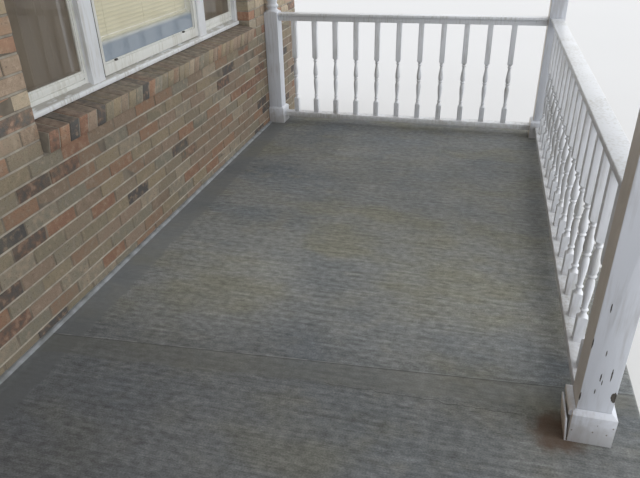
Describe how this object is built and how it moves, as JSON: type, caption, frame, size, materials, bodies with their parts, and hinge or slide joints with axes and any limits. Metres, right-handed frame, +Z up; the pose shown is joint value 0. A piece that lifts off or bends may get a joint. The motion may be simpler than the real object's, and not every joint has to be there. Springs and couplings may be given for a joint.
{
  "type": "front porch with house wall",
  "caption": "Covered front porch on a concrete slab: turned posts and balusters, low roof, and the brick house wall with its window and door.",
  "frame": {"origin": "middle of the floor slab's underside, at ground level", "axes": "X along the house wall, with the railed bay at +X; Y from the yard to the house; Z up"},
  "size_m": [6.732, 2.862, 3.74],
  "materials": {
    "concrete": "broom-finished concrete, grey-beige",
    "brick": "buff, tan and pink brick with some dark ones, light mortar",
    "plaster": "painted wallboard on the room side",
    "lintel_steel": "primed steel",
    "white_paint": "white oil paint on timber",
    "sash_paint": "off-white paint",
    "window_glass": "clear glass",
    "blind": "cream slats",
    "curtain": "light woven curtain",
    "rod_metal": "satin brass",
    "door_paint": "dark red satin paint",
    "threshold_metal": "mill finish",
    "brass": "worn lacquered brass",
    "post_paint": "white paint, chipped to the wood",
    "rail_paint": "white paint",
    "ceiling_paint": "white painted boards",
    "framing_timber": "plain softwood",
    "shingle": "grey mineral shingles",
    "flashing_metal": "dull sheet metal"
  },
  "bodies": {
    "root": {"porch_slab": "concrete", "foundation_wall": "concrete", "brick_wall": "brick", "inner_wall": "plaster", "rowlock_sill": "brick", "brick_lintels": "lintel_steel", "window_frame": "white_paint", "window_sill": "white_paint", "left_window_sash": "sash_paint", "centre_window_sash": "sash_paint", "right_window_sash": "sash_paint", "window_glass": "window_glass", "window_blind": "blind", "window_curtains": "curtain", "curtain_rods": "rod_metal", "door_frame": "white_paint", "door_leaf": "door_paint", "door_threshold": "threshold_metal", "door_knob": "brass", "far_wall_post": "post_paint", "far_wall_post_base": "post_paint", "far_corner_post": "post_paint", "far_corner_post_base": "post_paint", "entry_post": "post_paint", "entry_post_base": "post_paint", "near_corner_post": "post_paint", "near_corner_post_base": "post_paint", "near_wall_post": "post_paint", "near_wall_post_base": "post_paint", "front_top_rail": "rail_paint", "front_bottom_rail": "rail_paint", "front_balusters": "rail_paint", "far_top_rail": "rail_paint", "far_bottom_rail": "rail_paint", "far_balusters": "rail_paint", "near_top_rail": "rail_paint", "near_bottom_rail": "rail_paint", "near_balusters": "rail_paint", "front_beam": "white_paint", "far_beam": "white_paint", "near_beam": "white_paint", "ceiling": "ceiling_paint", "ceiling_joists": "framing_timber", "roof_framing": "framing_timber", "roof_deck": "framing_timber", "roof_shingles": "shingle", "wall_flashing": "flashing_metal", "front_fascia": "white_paint", "rake_boards": "white_paint", "soffit": "ceiling_paint", "gable_panels": "white_paint"}
  },
  "joints": []
}
